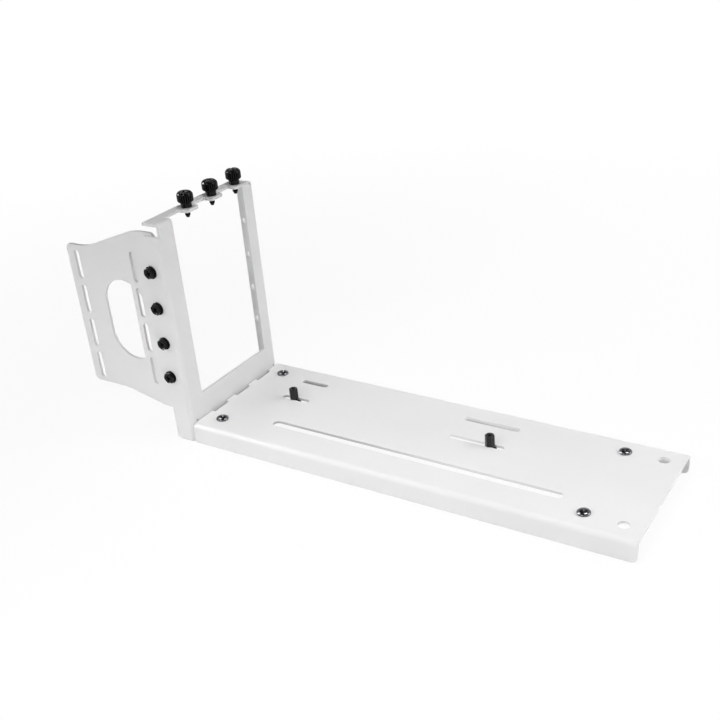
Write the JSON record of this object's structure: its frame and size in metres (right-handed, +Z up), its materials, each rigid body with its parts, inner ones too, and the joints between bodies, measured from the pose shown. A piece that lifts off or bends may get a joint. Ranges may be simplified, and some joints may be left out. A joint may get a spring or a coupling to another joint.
{
  "type": "gpu support bracket",
  "caption": "White steel stand for an upright graphics card: slotted base channel, windowed upright with screw tongues on top, bolted extension plate and riser standoffs.",
  "frame": {"origin": "middle of the bounding box on the floor plane, under the base", "axes": "+X along the base, from the upright towards the open end; +Y from the front flange to the back; +Z up"},
  "size_m": [0.3244, 0.0848, 0.135],
  "materials": {
    "white_powder_coat": "matt white powder coat on steel sheet",
    "black_steel": "satin black coated steel",
    "black_nickel": "bright black nickel plate"
  },
  "bodies": {
    "bracket": {"base_channel": "white_powder_coat", "upright_frame": "white_powder_coat", "extension_plate": "white_powder_coat", "flange_screw_1": "black_steel", "flange_screw_2": "black_steel", "flange_screw_3": "black_steel", "flange_screw_4": "black_steel", "base_screw_front_left": "black_nickel", "base_screw_front_right": "black_nickel", "base_screw_back_left": "black_nickel", "base_screw_back_right": "black_nickel", "base_nut_front_right": "black_nickel", "base_nut_back_right": "black_nickel"},
    "thumbscrew_front": {"thumbscrew_front": "black_steel"},
    "thumbscrew_middle": {"thumbscrew_middle": "black_steel"},
    "thumbscrew_back": {"thumbscrew_back": "black_steel"},
    "riser_left": {"riser_standoff_left": "black_steel", "riser_nut_left": "black_steel"},
    "riser_right": {"riser_standoff_right": "black_steel", "riser_nut_right": "black_steel"}
  },
  "joints": [
    {"name": "thumbscrew_front_turn", "type": "hinge", "parent": "bracket", "child": "thumbscrew_front", "pos_m": [-0.0975, -0.0105, 0.1265], "axis": [0, 0, 1], "continuous": true},
    {"name": "thumbscrew_middle_turn", "type": "hinge", "parent": "bracket", "child": "thumbscrew_middle", "pos_m": [-0.0975, 0.00982, 0.1265], "axis": [0, 0, 1], "continuous": true},
    {"name": "thumbscrew_back_turn", "type": "hinge", "parent": "bracket", "child": "thumbscrew_back", "pos_m": [-0.0975, 0.03014, 0.1265], "axis": [0, 0, 1], "continuous": true},
    {"name": "riser_left_slide", "type": "slide", "parent": "bracket", "child": "riser_left", "axis": [1, 0, 0], "range_m": [-0.0059, 0.0082]},
    {"name": "riser_right_slide", "type": "slide", "parent": "bracket", "child": "riser_right", "axis": [1, 0, 0], "range_m": [-0.0226, 0.0065]}
  ]
}
